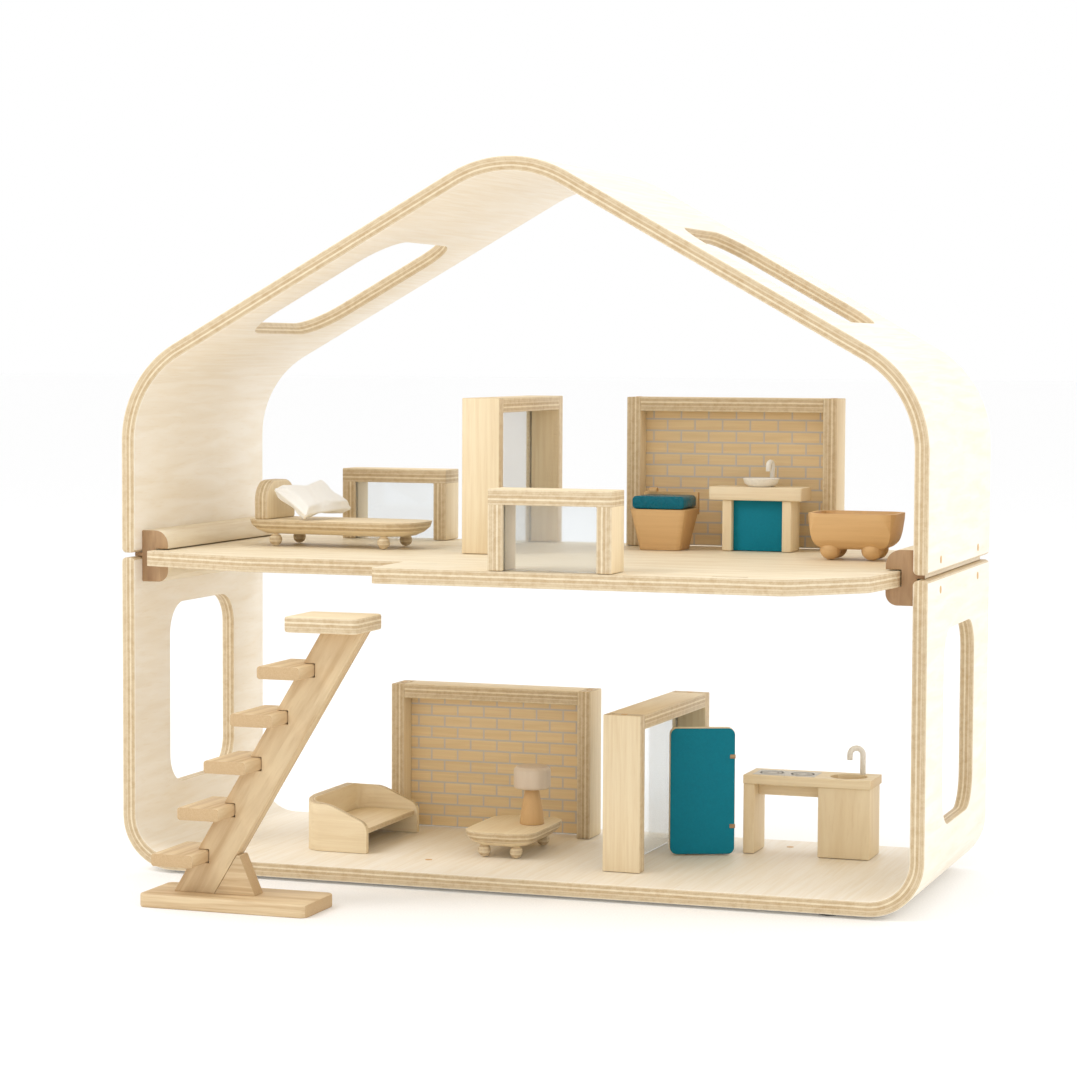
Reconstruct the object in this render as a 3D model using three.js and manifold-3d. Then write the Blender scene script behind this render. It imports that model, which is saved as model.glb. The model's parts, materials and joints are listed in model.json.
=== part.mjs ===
// A wooden dollhouse: two bent-plywood shells, a balcony floor resting on two grooved
// rails, a free-standing stair and a set of loose wooden furniture.
// Millimetres, +Z up. The front of the house faces -Y. Inside the code, Y = 0 is the front
// edge of the two shells and X = 0 is the middle of the house.
import * as THREE from "three";
import { mergeVertices } from "three/addons/utils/BufferGeometryUtils.js";
import Module from "manifold-3d";

const wasm = await Module();
wasm.setup();

// ---------------------------------------------------------------- driving dimensions
const HOUSE_W = 510; // outer width of both shells
const HOUSE_D = 194; // depth of both shells
const PLY = 9; // thickness of the bent plywood and of the furniture plywood
const FOOT_H = 2; // rubber feet under the lower shell
const LOWER_TOP = 197.5; // top end of the lower shell's walls
const UPPER_BOTTOM = 200.5; // bottom end of the roof shell's walls
const BASE_R = 33.5; // outer radius of the lower bends
const EAVE_R = 70; // outer radius of the bends between wall and roof slope
const RIDGE_R = 76; // outer radius of the ridge bend
const ROOF_APEX = 454; // height where the two outer roof planes would meet
const ROOF_SLOPE = THREE.MathUtils.degToRad(29.3);
const WALL_END_R = 3; // rounding on the free ends of the walls
const HALF_W = HOUSE_W / 2;
const INNER_X = HALF_W - PLY;

const GROUND_FLOOR = FOOT_H + PLY; // walking surface of the lower room
const UPPER_FLOOR = 202; // walking surface of the upper room
const FLOOR_HALF_W = 236.5;
const FLOOR_BACK_Y = 190;
const BALCONY_Y = -82.5; // front edge of the balcony
const LANDING_Y = -28.5; // front edge of the stepped-back part at the left
const STEP_X = -54.5; // side edge between the two

const FRAME_D = 24; // depth of every partition frame
const BIG_W = 138.5;
const BIG_H = 96;
const LOW_W = 74;
const LOW_H = 46.6;
const PANE_T = 2;
const PANEL_T = 3;
const GROOVE_DEPTH = 3;
const FIT = 0.3; // clearance between pieces that fit into one another
const REST = 0.3; // clearance under loose pieces

const STAIR_Y = -86; // centre plane of the stair
const STAIR_ANGLE = THREE.MathUtils.degToRad(59);
const TREAD_RISE = 28.1;

// ---------------------------------------------------------------- materials
function wood(color, roughness = 0.6) {
  return new THREE.MeshStandardMaterial({ color, roughness, metalness: 0 });
}
const MAT = {
  birch: wood(0xe9dcc0),
  floor: wood(0xd8c8a7),
  rail: wood(0x9e7b5d),
  frame: wood(0xd2b587),
  stair: wood(0xc9b38c),
  brick: wood(0xcfb383),
  moulded: wood(0xc4975f, 0.75),
  teal: wood(0x006f82, 0.55),
  white: wood(0xf1ede4, 0.5),
  lampshade: wood(0xc5b09b),
  rubber: wood(0x2a2a2a, 0.9),
  fabric: wood(0xf4f1ec, 0.95),
  acrylic: new THREE.MeshStandardMaterial({
    color: 0xe4e7e8,
    roughness: 0.05,
    metalness: 0,
    transparent: true,
    opacity: 0.35,
  }),
};

// ---------------------------------------------------------------- scene helpers
const house = new THREE.Group();

function add(parent, name, geometry, material, x = 0, y = 0, z = 0) {
  const mesh = new THREE.Mesh(geometry, material);
  mesh.name = name;
  mesh.position.set(x, y, z);
  parent.add(mesh);
  return mesh;
}

function groupAt(x, y, z, turnDegrees = 0) {
  const group = new THREE.Group();
  group.position.set(x, y, z);
  group.rotation.z = THREE.MathUtils.degToRad(turnDegrees);
  house.add(group);
  return group;
}

// ---------------------------------------------------------------- solid helpers
function toSolid(geometry) {
  const bare = geometry.clone();
  bare.deleteAttribute("normal");
  bare.deleteAttribute("uv");
  const merged = mergeVertices(bare, 1e-4);
  const vertProperties = new Float32Array(merged.attributes.position.array);
  const triVerts = new Uint32Array(merged.index.array);
  return new wasm.Manifold(new wasm.Mesh({ numProp: 3, vertProperties, triVerts }));
}

function fromSolid(solid) {
  const mesh = solid.getMesh();
  const geometry = new THREE.BufferGeometry();
  geometry.setAttribute("position", new THREE.BufferAttribute(mesh.vertProperties, 3));
  geometry.setIndex(new THREE.BufferAttribute(mesh.triVerts, 1));
  geometry.computeVertexNormals();
  return geometry;
}

function cut(geometry, ...tools) {
  let solid = toSolid(geometry);
  for (const tool of tools) {
    solid = solid.subtract(toSolid(tool));
  }
  return fromSolid(solid);
}

function join(geometry, ...others) {
  let solid = toSolid(geometry);
  for (const other of others) {
    solid = solid.add(toSolid(other));
  }
  return fromSolid(solid);
}

// A box given by its two opposite corners.
function box(x0, x1, y0, y1, z0, z1) {
  const geometry = new THREE.BoxGeometry(x1 - x0, y1 - y0, z1 - z0);
  return geometry.translate((x0 + x1) / 2, (y0 + y1) / 2, (z0 + z1) / 2);
}

// A flat outline in X and Y, raised from z0 to z1.
function slab(shape, z0, z1, curveSegments = 6) {
  const options = { depth: z1 - z0, bevelEnabled: false, curveSegments };
  return new THREE.ExtrudeGeometry(shape, options).translate(0, 0, z0);
}

// An upright outline in X and Z, running from y0 to y1.
function upright(shape, y0, y1, curveSegments = 6) {
  const options = { depth: y1 - y0, bevelEnabled: false, curveSegments };
  return new THREE.ExtrudeGeometry(shape, options).rotateX(Math.PI / 2).translate(0, y1, 0);
}

// An outline in Y and Z, running from x0 to x1.
function crosswise(shape, x0, x1, curveSegments = 6) {
  const options = { depth: x1 - x0, bevelEnabled: false, curveSegments };
  const geometry = new THREE.ExtrudeGeometry(shape, options);
  return geometry.rotateX(Math.PI / 2).rotateZ(Math.PI / 2).translate(x0, 0, 0);
}

function polygon(points) {
  return new THREE.Shape(points.map(([x, y]) => new THREE.Vector2(x, y)));
}

// Every corner is [x, y, radius]; a radius of 0 keeps it sharp.
function roundedPolygon(corners) {
  const shape = new THREE.Shape();
  const count = corners.length;
  corners.forEach(([x, y, radius], i) => {
    const corner = new THREE.Vector2(x, y);
    const before = new THREE.Vector2(...corners[(i + count - 1) % count]);
    const after = new THREE.Vector2(...corners[(i + 1) % count]);
    const into = corner.clone().sub(before).normalize();
    const out = after.clone().sub(corner).normalize();
    const turn = Math.atan2(into.cross(out), into.dot(out));
    const reach = radius * Math.tan(Math.abs(turn) / 2);
    const start = corner.clone().addScaledVector(into, -reach);
    const side = Math.sign(turn);
    if (i === 0) {
      shape.moveTo(start.x, start.y);
    } else {
      shape.lineTo(start.x, start.y);
    }
    if (radius > 0) {
      const centre = start.clone().add(new THREE.Vector2(-into.y, into.x).multiplyScalar(side * radius));
      const from = Math.atan2(start.y - centre.y, start.x - centre.x);
      shape.absarc(centre.x, centre.y, radius, from, from + turn, turn < 0);
    }
  });
  shape.closePath();
  return shape;
}

function roundedRect(x0, x1, y0, y1, radius) {
  return roundedPolygon([
    [x0, y0, radius],
    [x1, y0, radius],
    [x1, y1, radius],
    [x0, y1, radius],
  ]);
}

// A turned solid from [radius, height] points; it starts and ends on the axis.
function turned(profile, segments = 24) {
  const points = profile.map(([radius, height]) => new THREE.Vector2(radius, height));
  return new THREE.LatheGeometry(points, segments).rotateX(Math.PI / 2);
}

// ---------------------------------------------------------------- the two shells
const WINDOW = { y0: 50, y1: 147, z0: 48, z1: 165, radius: 20 };
const SKYLIGHT = { along: 116, across: 116, radius: 26, x: 141, y: 95 };

function baseProfile() {
  const inner = BASE_R - PLY;
  const floor = FOOT_H + PLY;
  return roundedPolygon([
    [-HALF_W, FOOT_H, BASE_R],
    [HALF_W, FOOT_H, BASE_R],
    [HALF_W, LOWER_TOP, WALL_END_R],
    [INNER_X, LOWER_TOP, WALL_END_R],
    [INNER_X, floor, inner],
    [-INNER_X, floor, inner],
    [-INNER_X, LOWER_TOP, WALL_END_R],
    [-HALF_W, LOWER_TOP, WALL_END_R],
  ]);
}

function roofProfile() {
  const eave = ROOF_APEX - HALF_W * Math.tan(ROOF_SLOPE);
  const innerApex = ROOF_APEX - PLY / Math.cos(ROOF_SLOPE);
  const innerEave = innerApex - INNER_X * Math.tan(ROOF_SLOPE);
  return roundedPolygon([
    [INNER_X, UPPER_BOTTOM, WALL_END_R],
    [HALF_W, UPPER_BOTTOM, WALL_END_R],
    [HALF_W, eave, EAVE_R],
    [0, ROOF_APEX, RIDGE_R],
    [-HALF_W, eave, EAVE_R],
    [-HALF_W, UPPER_BOTTOM, WALL_END_R],
    [-INNER_X, UPPER_BOTTOM, WALL_END_R],
    [-INNER_X, innerEave, EAVE_R - PLY],
    [0, innerApex, RIDGE_R - PLY],
    [INNER_X, innerEave, EAVE_R - PLY],
  ]);
}

function skylightTool(side) {
  const { along, across, radius, x, y } = SKYLIGHT;
  const outline = roundedRect(-along / 2, along / 2, -across / 2, across / 2, radius);
  const tool = slab(outline, -2 * PLY, 2 * PLY, 5);
  tool.rotateY(side * ROOF_SLOPE);
  const middle = ROOF_APEX - x * Math.tan(ROOF_SLOPE) - PLY / 2;
  return tool.translate(side * x, y, middle);
}

const windowTool = crosswise(
  roundedRect(WINDOW.y0, WINDOW.y1, WINDOW.z0, WINDOW.z1, WINDOW.radius),
  -HALF_W - 1,
  HALF_W + 1,
);
add(house, "base_shell", cut(upright(baseProfile(), 0, HOUSE_D, 7), windowTool), MAT.birch);
add(
  house,
  "roof_shell",
  cut(upright(roofProfile(), 0, HOUSE_D, 7), skylightTool(1), skylightTool(-1)),
  MAT.birch,
);

// ---------------------------------------------------------------- rails and upper floor
const RAIL = { inner: 228, y0: 10, y1: 184, z0: 182, z1: 214.3, groove: 237.2, lip: 202.8 };
const TONGUE = { x: 251, z0: 197.8, z1: 200.2 };

function railProfile() {
  const floorBottom = UPPER_FLOOR - PLY;
  return roundedPolygon([
    [RAIL.inner, RAIL.z0, 7],
    [INNER_X, RAIL.z0, 1],
    [INNER_X, TONGUE.z0, 0],
    [TONGUE.x, TONGUE.z0, 0],
    [TONGUE.x, TONGUE.z1, 0],
    [INNER_X, TONGUE.z1, 0],
    [INNER_X, RAIL.z1, 1],
    [RAIL.inner, RAIL.z1, 9],
    [RAIL.inner, RAIL.lip, 0],
    [RAIL.groove, RAIL.lip, 0],
    [RAIL.groove, floorBottom, 0],
    [RAIL.inner, floorBottom, 0],
  ]);
}

function floorOutline() {
  return roundedPolygon([
    [-FLOOR_HALF_W, FLOOR_BACK_Y, 3],
    [-FLOOR_HALF_W, -5, 6],
    [-158, LANDING_Y, 60],
    [STEP_X, LANDING_Y, 2],
    [STEP_X, BALCONY_Y, 5],
    [193, BALCONY_Y, 12],
    [230, -42, 14],
    [FLOOR_HALF_W, 4, 6],
    [FLOOR_HALF_W, FLOOR_BACK_Y, 3],
  ]);
}

const floorSlot = box(147, 168, -72.4, -70.4, UPPER_FLOOR - 2 * PLY, UPPER_FLOOR + 1);
add(house, "rail_right", upright(railProfile(), RAIL.y0, RAIL.y1), MAT.rail);
const railLeft = upright(railProfile(), RAIL.y0, RAIL.y1);
add(house, "rail_left", railLeft, MAT.rail, 0, RAIL.y0 + RAIL.y1).rotation.z = Math.PI;
add(house, "upper_floor", cut(slab(floorOutline(), UPPER_FLOOR - PLY, UPPER_FLOOR), floorSlot), MAT.floor);

for (const [side, x] of [["left", -196], ["right", 196]]) {
  for (const [end, y] of [["front", 13], ["back", HOUSE_D - 13]]) {
    const foot = turned([[0, 0], [6, 0], [6, FOOT_H], [0, FOOT_H]], 20);
    add(house, `foot_${end}_${side}`, foot, MAT.rubber, x, y, 0);
  }
}

// ---------------------------------------------------------------- stair
const STAIR_BASE = { x0: -191, x1: -83.5, depth: 43, height: 8 };
const STRINGER = { x: -174.8, run: 26, depth: 12, top: 165.2 };
const WEDGE = { foot: 26, tip: 1.9, rise: 23.4 }; // the block behind the stringer's heel
const TREAD = { width: 26.5, depth: 46, height: 7.5, right: -152.4, top: 33.6, count: 5 };
const PLATFORM = { x0: -98.5, x1: -52.5, depth: 41, top: 174.2 };

function leanAt(z) {
  return (z - STAIR_BASE.height) / Math.tan(STAIR_ANGLE);
}

function treadBox(i) {
  const shift = (i * TREAD_RISE) / Math.tan(STAIR_ANGLE);
  const x1 = TREAD.right + shift;
  const z1 = TREAD.top + i * TREAD_RISE;
  return { x0: x1 - TREAD.width, x1, z0: z1 - TREAD.height, z1 };
}

// The leaning board's outline; its left edge is notched for each tread.
function stringerOutline() {
  const { x, run, top } = STRINGER;
  const points = [
    [x, STAIR_BASE.height],
    [x + run, STAIR_BASE.height],
    [x + run + leanAt(top), top],
    [x + leanAt(top), top],
  ];
  for (let i = TREAD.count - 1; i >= 0; i -= 1) {
    const { x1, z0, z1 } = treadBox(i);
    points.push([x + leanAt(z1 + FIT), z1 + FIT]);
    points.push([x1 + FIT, z1 + FIT]);
    points.push([x1 + FIT, z0 - FIT]);
    points.push([x + leanAt(z0 - FIT), z0 - FIT]);
  }
  return polygon(points);
}

function wedgeOutline() {
  const base = STAIR_BASE.height;
  const heel = STRINGER.x + STRINGER.run + FIT;
  const tip = heel + leanAt(base + WEDGE.rise);
  return polygon([
    [heel, base],
    [heel + WEDGE.foot, base],
    [tip + WEDGE.tip, base + WEDGE.rise],
    [tip, base + WEDGE.rise],
  ]);
}

function buildStair() {
  const stair = groupAt(0, STAIR_Y, 0);
  const { x0, x1, depth, height } = STAIR_BASE;
  const half = STRINGER.depth / 2;
  add(stair, "stair_base", slab(roundedRect(x0, x1, -depth / 2, depth / 2, 5), 0, height), MAT.stair);
  add(stair, "stair_stringer", upright(stringerOutline(), -half, half), MAT.stair);
  add(stair, "stair_wedge", upright(wedgeOutline(), -half, half), MAT.stair);
  for (let i = 0; i < TREAD.count; i += 1) {
    const tread = treadBox(i);
    const outline = roundedRect(tread.x0, tread.x1, tread.z0, tread.z1, 1.8);
    const geometry = upright(outline, -TREAD.depth / 2 - 5, TREAD.depth / 2 - 5, 3);
    add(stair, `stair_tread_${i + 1}`, geometry, MAT.stair);
  }
  const top = roundedRect(PLATFORM.x0, PLATFORM.x1, -PLATFORM.depth / 2, PLATFORM.depth / 2, 4);
  add(stair, "stair_platform", slab(top, PLATFORM.top - PLY, PLATFORM.top), MAT.frame);
}
buildStair();

// ---------------------------------------------------------------- partition frames
// Local frame: X across the opening, Y = 0 at the front face, Z = 0 at the floor.
function bigPost(side, grooveY, grooveW) {
  const outer = BIG_W / 2;
  const inner = outer - PLY;
  const [x0, x1] = side < 0 ? [-outer, -inner] : [inner, outer];
  const [g0, g1] = side < 0 ? [x1 - GROOVE_DEPTH, x1 + 1] : [x0 - 1, x0 + GROOVE_DEPTH];
  const post = box(x0, x1, 0, FRAME_D, 0, BIG_H);
  return cut(post, box(g0, g1, grooveY, grooveY + grooveW, -1, BIG_H + 1));
}

function bigBeam(grooveY, grooveW) {
  const half = BIG_W / 2 - PLY;
  const beam = box(-half, half, 0, FRAME_D, BIG_H - PLY, BIG_H);
  const under = BIG_H - PLY;
  const groove = box(-half - 1, half + 1, grooveY, grooveY + grooveW, under - 1, under + GROOVE_DEPTH);
  return cut(beam, groove);
}

function bigFilling(grooveY, thickness) {
  const half = BIG_W / 2 - PLY + GROOVE_DEPTH - FIT;
  const y0 = grooveY + FIT / 2;
  return box(-half, half, y0, y0 + thickness, FIT, BIG_H - PLY + GROOVE_DEPTH - FIT);
}

function brickWall(name, x, y, z, turn) {
  const grooveY = 14;
  const grooveW = PANEL_T + FIT;
  const wall = groupAt(x, y, z, turn);
  add(wall, `${name}_post_left`, bigPost(-1, grooveY, grooveW), MAT.frame);
  add(wall, `${name}_post_right`, bigPost(1, grooveY, grooveW), MAT.frame);
  add(wall, `${name}_beam`, bigBeam(grooveY, grooveW), MAT.frame);
  add(wall, `${name}_panel`, bigFilling(grooveY, PANEL_T), MAT.brick);
}

// A frame glued up as one piece: two posts and a beam, with a groove for the pane.
function gluedFrame(width, height, grooveY) {
  const half = width / 2;
  const inner = half - PLY;
  const blank = polygon([
    [-half, 0],
    [-inner, 0],
    [-inner, height - PLY],
    [inner, height - PLY],
    [inner, 0],
    [half, 0],
    [half, height],
    [-half, height],
  ]);
  const bed = inner + GROOVE_DEPTH;
  const groove = box(-bed, bed, grooveY, grooveY + PANE_T + FIT, -1, height - PLY + GROOVE_DEPTH);
  return cut(upright(blank, 0, FRAME_D), groove);
}

function glazedFrame(name, width, height, grooveY, x, y, z, turn) {
  const frame = groupAt(x, y, z, turn);
  const half = width / 2 - PLY + GROOVE_DEPTH - FIT;
  const y0 = grooveY + FIT / 2;
  const pane = box(-half, half, y0, y0 + PANE_T, FIT, height - PLY + GROOVE_DEPTH - FIT);
  add(frame, `${name}_frame`, gluedFrame(width, height, grooveY), MAT.frame);
  add(frame, `${name}_pane`, pane, MAT.acrylic);
}

brickWall("bath_wall", 93.5, 164, UPPER_FLOOR + REST, 0);
brickWall("living_wall", -64.5, 151, GROUND_FLOOR + REST, 0);
glazedFrame("bedroom_window", LOW_W, LOW_H, 3, -138, 165.5, UPPER_FLOOR + REST, 0);
glazedFrame("balcony_window", LOW_W, LOW_H, 3, 54.5, -81.6, UPPER_FLOOR + REST, 0);
glazedFrame("tall_window", BIG_W, BIG_H, 19, -25, 119, UPPER_FLOOR + REST, 92);

// ---------------------------------------------------------------- door partition
const DOOR = { width: 41, height: 80, thickness: 8, radius: 4.5, y: 2, lift: 0.8, turn: 22 };

function buildDoorPartition() {
  const grooveY = 19;
  const grooveW = PANE_T + FIT;
  const wall = groupAt(74.5, 110, GROUND_FLOOR + REST, 88);
  add(wall, "door_post_near", bigPost(-1, grooveY, grooveW), MAT.frame);
  add(wall, "door_post_far", bigPost(1, grooveY, grooveW), MAT.frame);
  add(wall, "door_beam", bigBeam(grooveY, grooveW), MAT.frame);
  add(wall, "door_pane", bigFilling(grooveY, PANE_T), MAT.acrylic);
}

function buildDoor() {
  const { width, height, thickness, radius, lift, turn } = DOOR;
  const leaf = groupAt(71, 109.5, GROUND_FLOOR + lift, turn);
  const outline = roundedRect(0, width, 0, height, radius);
  add(leaf, "door_leaf", upright(outline, 0, thickness, 5), MAT.teal);
}
buildDoorPartition();
buildDoor();

// ---------------------------------------------------------------- boards on ball feet
const BALL_R = 4.1;
const BOARD_LIFT = 7.8;

// A rounded board whose underside tapers in, standing on four small balls.
function footedBoard(length, width, radius, taper, feetX, feetY) {
  const steps = [[0, taper], [0.25, taper * 0.5], [0.6, taper * 0.12], [1, 0]];
  let solid = null;
  for (let i = 0; i < steps.length - 1; i += 1) {
    const [from, insetFrom] = steps[i];
    const [to, insetTo] = steps[i + 1];
    const layer = taperedLayer(length, width, radius, insetFrom, insetTo, from * PLY, to * PLY);
    solid = solid === null ? toSolid(layer) : solid.add(toSolid(layer));
  }
  for (const x of [-feetX, feetX]) {
    for (const y of [-feetY, feetY]) {
      const ball = new THREE.SphereGeometry(BALL_R, 14, 10);
      ball.rotateX(Math.PI / 2).translate(x, y, BALL_R - BOARD_LIFT);
      solid = solid.add(toSolid(ball));
    }
  }
  return fromSolid(solid);
}

// A slice of the board between two heights, each with its own inset outline.
function taperedLayer(length, width, radius, insetLow, insetHigh, z0, z1) {
  const half = [length / 2, width / 2];
  const geometry = slab(roundedRect(-half[0], half[0], -half[1], half[1], radius), z0, z1, 5);
  const position = geometry.attributes.position;
  for (let i = 0; i < position.count; i += 1) {
    const inset = Math.abs(position.getZ(i) - z0) < 1e-6 ? insetLow : insetHigh;
    position.setX(i, (position.getX(i) * (half[0] - inset)) / half[0]);
    position.setY(i, (position.getY(i) * (half[1] - inset)) / half[1]);
  }
  return geometry;
}

// The pillow's long edge runs across the bed and its short edge climbs the headboard.
function pillowLean() {
  const long = new THREE.Vector3(13, 43.6, 3).normalize();
  const short = new THREE.Vector3(-29, 8, 18);
  short.addScaledVector(long, -short.dot(long)).normalize();
  const up = new THREE.Vector3().crossVectors(long, short);
  return new THREE.Matrix4().makeBasis(long, short, up);
}

function buildBed() {
  const top = BOARD_LIFT + PLY;
  const bed = groupAt(-143, 86.5, UPPER_FLOOR + REST, -3);
  const board = footedBoard(117, 52, 17, 9, 38, 17);
  add(bed, "bed_board", board, MAT.frame, 0, 0, BOARD_LIFT);
  const headboard = roundedPolygon([
    [-20, 0, 0],
    [20, 0, 0],
    [20, 25, 13],
    [-20, 25, 13],
  ]);
  add(bed, "bed_headboard", crosswise(headboard, -52, -42.5), MAT.frame, 0, 0, top);
  const cushion = slab(roundedRect(-21.5, 21.5, -15.5, 15.5, 5), -3, 3, 4);
  const pillow = add(bed, "pillow", cushion, MAT.fabric, -19, -2.2, top + 12.8);
  pillow.rotation.setFromRotationMatrix(pillowLean());
}
buildBed();

function buildCoffeeTable() {
  const table = groupAt(-26.5, 92, GROUND_FLOOR + REST, 0);
  const top = BOARD_LIFT + PLY;
  const board = footedBoard(47, 74, 14, 7, 10.5, 26);
  add(table, "coffee_table", board, MAT.frame, 0, 0, BOARD_LIFT);
  const foot = [[0, 0], [7.7, 0], [7.7, 1], [6.9, 9], [5.4, 17], [4, 22.7], [0, 22.7]];
  add(table, "lamp_base", turned(foot), MAT.moulded, 9.5, 7, top);
  const shade = [[0, 0], [10.6, 0], [11.8, 1.4], [11.8, 12.2], [9.4, 14.6], [0, 14.6]];
  add(table, "lamp_shade", turned(shade), MAT.lampshade, 9.5, 7, top + 22.7);
}
buildCoffeeTable();

// ---------------------------------------------------------------- sofa
const SOFA = { depth: 44, width: 92, wall: 4, radius: 14, front: 18.5, back: 34, seat: 15 };

// The wrap is a bent board: a U in plan, trimmed by a sloping top that rounds over in front.
function sofaWrap() {
  const { depth, width, wall, radius, front, back } = SOFA;
  const half = width / 2;
  const plan = roundedPolygon([
    [depth, -half, 0],
    [depth, -half + wall, 0],
    [wall, -half + wall, radius - wall],
    [wall, half - wall, radius - wall],
    [depth, half - wall, 0],
    [depth, half, 0],
    [0, half, radius],
    [0, -half, radius],
  ]);
  const side = roundedPolygon([
    [-1, 0, 0],
    [depth, 0, 0],
    [depth, front, 7],
    [depth * 0.45, back - 5, 30],
    [-1, back - 1, 0],
  ]);
  const crown = roundedPolygon([
    [-half - 1, 0, 0],
    [half + 1, 0, 0],
    [half + 1, back - 4.5, 0],
    [half * 0.45, back, 60],
    [-half * 0.45, back, 60],
    [-half - 1, back - 4.5, 0],
  ]);
  const plate = toSolid(slab(plan, 0, back + 1));
  const profile = toSolid(upright(side, -half - 1, half + 1));
  const arch = toSolid(crosswise(crown, -2, depth + 2, 8));
  return fromSolid(plate.intersect(profile).intersect(arch));
}

function buildSofa() {
  const { depth, width, wall, radius, seat } = SOFA;
  const sofa = groupAt(-154, 95, GROUND_FLOOR + REST, 0);
  const half = width / 2 - wall - FIT;
  const board = roundedPolygon([
    [depth - 1.5, -half, 1],
    [depth - 1.5, half, 1],
    [wall + FIT, half, radius - wall],
    [wall + FIT, -half, radius - wall],
  ]);
  add(sofa, "sofa_wrap", sofaWrap(), MAT.frame);
  add(sofa, "sofa_seat", slab(board, seat - 3.5, seat), MAT.frame);
}
buildSofa();

// ---------------------------------------------------------------- bathroom
// A body that narrows toward the floor, hollowed from above.
function taperedBody(topHalf, bottomHalf, height, radius) {
  const rim = roundedRect(-topHalf[0], topHalf[0], -topHalf[1], topHalf[1], radius);
  const geometry = slab(rim, 0, height, 5);
  const position = geometry.attributes.position;
  for (let i = 0; i < position.count; i += 1) {
    if (position.getZ(i) < 1e-6) {
      position.setX(i, (position.getX(i) * bottomHalf[0]) / topHalf[0]);
      position.setY(i, (position.getY(i) * bottomHalf[1]) / topHalf[1]);
    }
  }
  return geometry;
}

const TOILET = { halfX: 19, halfY: 17, height: 25.8, hingeY: 14.5, lidT: 8 };

function buildToilet() {
  const { halfX, halfY, height, lidT, hingeY } = TOILET;
  const toilet = groupAt(57.5, 139, UPPER_FLOOR + REST, 0);
  const body = taperedBody([halfX, halfY], [13.5, 12], height, 5);
  const bowl = taperedBody([15, 11], [9, 7], 17, 5).translate(0, -3, height - 16);
  const tank = box(-18, 18, hingeY - 1.2, halfY, height - 4, height + 10);
  const knuckle = new THREE.CylinderGeometry(2.6, 2.6, 5, 16).rotateZ(Math.PI / 2);
  knuckle.translate(-12, hingeY + 0.8, height + 10);
  add(toilet, "toilet_body", cut(join(body, tank, knuckle), bowl), MAT.moulded);
  const lid = upright(roundedRect(-17, 17, FIT, lidT + FIT, 2.5), -halfY + 1.5, hingeY - 1.5, 4);
  add(toilet, "toilet_lid", lid, MAT.teal, 0, 0, height);
}
buildToilet();

const VANITY = { x: 117, y: 136.5, height: 40.3, top: 8, legH: 32 };

function tapPath(reach, rise) {
  const radius = reach / 2;
  const path = new THREE.CurvePath();
  path.add(new THREE.LineCurve3(new THREE.Vector3(0, 0, 0), new THREE.Vector3(0, 0, rise)));
  const bend = [];
  for (let i = 0; i <= 10; i += 1) {
    const a = Math.PI * (i / 10);
    bend.push(new THREE.Vector3(-radius + radius * Math.cos(a), 0, rise + radius * Math.sin(a)));
  }
  path.add(new THREE.CatmullRomCurve3(bend));
  const tip = new THREE.Vector3(-reach, 0, rise - 3.5);
  path.add(new THREE.LineCurve3(bend[10], tip));
  return path;
}

function hookTap(reach, rise, radius) {
  const section = new THREE.Shape().absarc(0, 0, radius, 0, 2 * Math.PI);
  const options = { steps: 30, extrudePath: tapPath(reach, rise), bevelEnabled: false, curveSegments: 10 };
  return new THREE.ExtrudeGeometry(section, options);
}

function buildVanity() {
  const { x, y, height, top, legH } = VANITY;
  const vanity = groupAt(x, y, UPPER_FLOOR + REST, 0);
  add(vanity, "vanity_top", slab(roundedRect(-30.2, 30.2, 0, 26.5, 1.5), legH, height), MAT.frame);
  add(vanity, "vanity_leg_left", box(-21.5, -15.4, 1.5, 24, 0, legH), MAT.frame);
  add(vanity, "vanity_leg_right", box(17.2, 23.2, 1.5, 24, 0, legH), MAT.frame);
  add(vanity, "vanity_panel", box(-15.4, 17.2, 6, 10, 0, legH), MAT.teal);
  const dish = [[0, 0], [7.5, 0], [10.4, 2.2], [11.6, 5.4], [10.4, 5.4], [9, 2.8], [6.8, 1.6], [0, 1.6]];
  add(vanity, "vanity_basin", turned(dish, 28), MAT.white, 1, 11.6, height);
  const tap = add(vanity, "vanity_tap", hookTap(4.6, 13, 1.6), MAT.white, 5, 24.6, height);
  tap.rotation.z = THREE.MathUtils.degToRad(70);
}
buildVanity();

const TUB = { half: [27.3, 21.5], base: [22.3, 15], height: 21.9, wall: 2.7, lift: 6.4 };

// A tapered tub form whose sides curve under at the bottom, and whose corners are round.
function tubForm(inset, z0, cornerR, heelR) {
  const top = TUB.half.map((half) => half - inset);
  const low = TUB.base.map((half) => half - inset * 0.6);
  const outlines = [0, 1].map((i) =>
    roundedPolygon([
      [-low[i], z0, heelR],
      [low[i], z0, heelR],
      [top[i], TUB.height, 0],
      [-top[i], TUB.height, 0],
    ]),
  );
  const plan = roundedRect(-top[0], top[0], -top[1], top[1], cornerR);
  const long = toSolid(upright(outlines[0], -top[1] - 1, top[1] + 1, 8));
  const wide = toSolid(crosswise(outlines[1], -top[0] - 1, top[0] + 1, 8));
  return toSolid(slab(plan, z0, TUB.height, 8)).intersect(long).intersect(wide);
}

function buildBathtub() {
  const tub = groupAt(192, 93.5, UPPER_FLOOR + REST, 0);
  let body = tubForm(0, 0, 11, 9);
  for (const x of [-14, 11.5]) {
    for (const y of [-8.5, 8.5]) {
      const foot = new THREE.SphereGeometry(6.6, 16, 12).rotateX(Math.PI / 2).translate(x, y, 0.2);
      body = body.add(toSolid(foot));
    }
  }
  const hollow = tubForm(TUB.wall, TUB.wall + 0.5, 9, 8);
  const solid = fromSolid(body.subtract(hollow));
  add(tub, "bathtub", solid, MAT.moulded, 0, 0, TUB.lift);
}
buildBathtub();

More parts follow.
